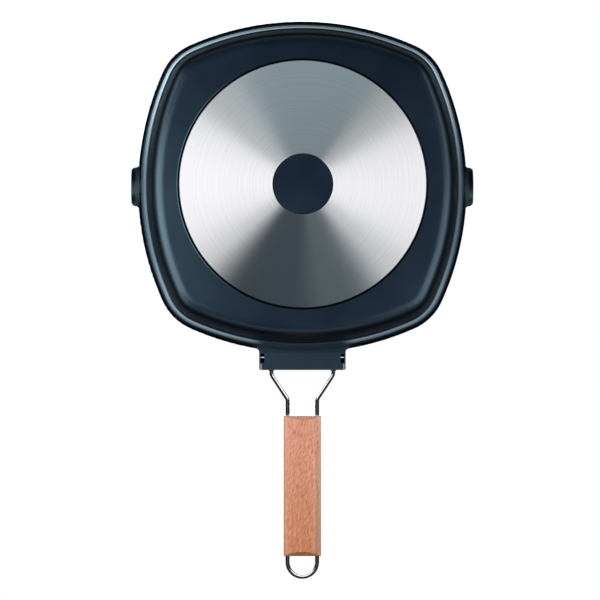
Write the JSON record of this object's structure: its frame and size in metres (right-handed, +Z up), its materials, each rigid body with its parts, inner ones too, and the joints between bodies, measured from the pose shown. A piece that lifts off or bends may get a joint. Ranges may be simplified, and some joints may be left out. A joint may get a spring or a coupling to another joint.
{
  "type": "square grill pan",
  "caption": "Square cast grill pan with bulging sides, two pouring spouts, a turned steel base ring and a wire handle with a wooden grip that folds over the pan.",
  "frame": {"origin": "centre of the base ring, on the plane that the pan stands on", "axes": "+Z up through the open top, handle along -Y, pouring spouts at -X and +X"},
  "size_m": [0.2904, 0.4751, 0.0525],
  "materials": {
    "coated_casting": "satin blue-black non-stick coat on die-cast aluminium",
    "turned_ring": "fine concentric turning lines",
    "chromed_wire": "bright plated",
    "beech": "sanded beech with a thin clear lacquer"
  },
  "bodies": {
    "pan": {"pan_body": "coated_casting", "base_plate": "turned_ring"},
    "handle": {"handle_wire": "chromed_wire", "wood_grip": "beech"}
  },
  "joints": [
    {"name": "handle_fold", "type": "hinge", "parent": "pan", "child": "handle", "pos_m": [0, -0.1453, 0.044], "axis": [-1, 0, 0], "range_deg": [0, 180]}
  ]
}
